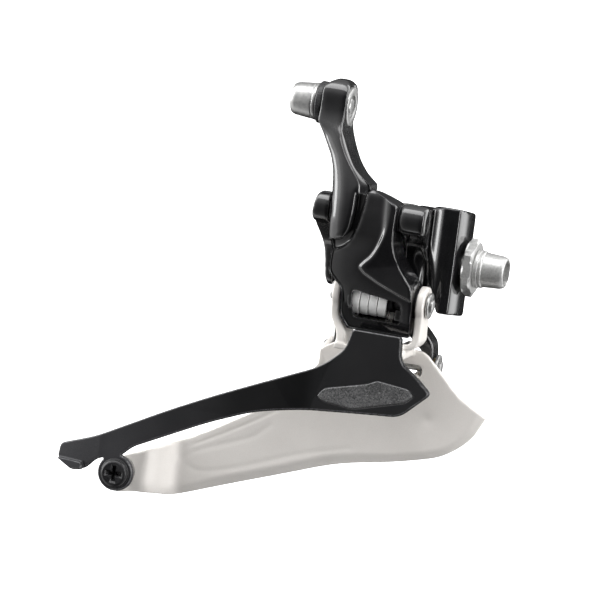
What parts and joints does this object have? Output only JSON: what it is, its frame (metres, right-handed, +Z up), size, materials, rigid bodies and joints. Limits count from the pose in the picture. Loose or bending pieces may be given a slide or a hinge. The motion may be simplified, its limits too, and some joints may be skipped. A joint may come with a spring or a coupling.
{
  "type": "front derailleur",
  "caption": "Braze-on front derailleur: forged black parallelogram with a tall cable arm, a black outer cage plate, a silver inner cage plate and a hex-washer mounting bolt.",
  "frame": {"origin": "axis of the mounting bolt, on the column's convex seat face where the frame's hanger bears", "axes": "+X forward along the mounting bolt and out of the seat face, +Y inboard towards the bicycle's centre plane, +Z up along the seat tube"},
  "size_m": [0.0978, 0.0318, 0.1037],
  "materials": {
    "gloss_black": "gloss black paint on forged aluminium",
    "satin_black": "satin black anodised aluminium",
    "inlay_grey": "fine-grained dark grey",
    "satin_silver": "bead-blasted satin silver",
    "steel": "bright steel",
    "dark_steel": "dark knurled steel",
    "black_screw": "black oxide screw",
    "bronze": "plain sintered bronze",
    "polymer": "dark low-friction plastic"
  },
  "bodies": {
    "body": {"main_body": "gloss_black", "mounting_bolt": "steel", "clamp_washer_hex": "steel", "upper_outer_pin": "steel", "upper_inner_pin": "steel", "screw_lock_inserts": "polymer"},
    "outer_link": {"outer_link": "gloss_black", "cable_arm": "gloss_black", "arm_screw": "steel", "cable_clamp_bolt": "steel", "cable_washer": "dark_steel", "cable_insert": "steel", "upper_link_bushes": "bronze", "lower_link_bushes": "bronze", "upper_thrust_washers": "polymer"},
    "inner_link": {"inner_link": "gloss_black", "inner_link_bushes": "bronze"},
    "cage": {"inner_cage_plate": "satin_silver", "outer_cage_plate": "satin_black", "plate_inlay": "inlay_grey", "cage_rivets": "steel", "lower_outer_pin": "steel", "lower_inner_pin": "steel", "pin_clips": "steel", "lower_thrust_washers": "polymer", "spring_sleeve": "polymer", "return_spring": "steel", "tail_screw": "black_screw", "tail_spacer": "steel"},
    "limit_screw_low": {"limit_screw_low": "steel"},
    "limit_screw_high": {"limit_screw_high": "steel"}
  },
  "joints": [
    {"name": "outer_link_pivot", "type": "hinge", "parent": "body", "child": "outer_link", "pos_m": [-0.0204, -0.017, 0.011], "axis": [-1, 0, 0], "range_deg": [0, 46], "stiffness_Nm_per_rad": 0.44, "springref_deg": -32.66},
    {"name": "cage_pivot", "type": "hinge", "parent": "outer_link", "child": "cage", "pos_m": [-0.015, -0.014, -0.0084], "axis": [-1, 0, 0], "range_deg": [-46, 0], "deforming": ["return_spring"]},
    {"name": "inner_link_pivot", "type": "hinge", "parent": "body", "child": "inner_link", "pos_m": [-0.0204, -0.005, -0.0048], "axis": [-1, 0, 0], "range_deg": [0, 46]},
    {"name": "limit_screw_low_turn", "type": "hinge", "parent": "body", "child": "limit_screw_low", "pos_m": [-0.0148, -0.001, 0.0125], "axis": [0, 0, 1], "range_deg": [-360, 360]},
    {"name": "limit_screw_high_turn", "type": "hinge", "parent": "body", "child": "limit_screw_high", "pos_m": [-0.0188, -0.0064, 0.0125], "axis": [0, 0, 1], "range_deg": [-360, 360]}
  ],
  "couplings": [
    {"joint": "cage_pivot", "follows": "outer_link_pivot", "ratio": -1},
    {"joint": "inner_link_pivot", "follows": "outer_link_pivot", "ratio": 1}
  ]
}
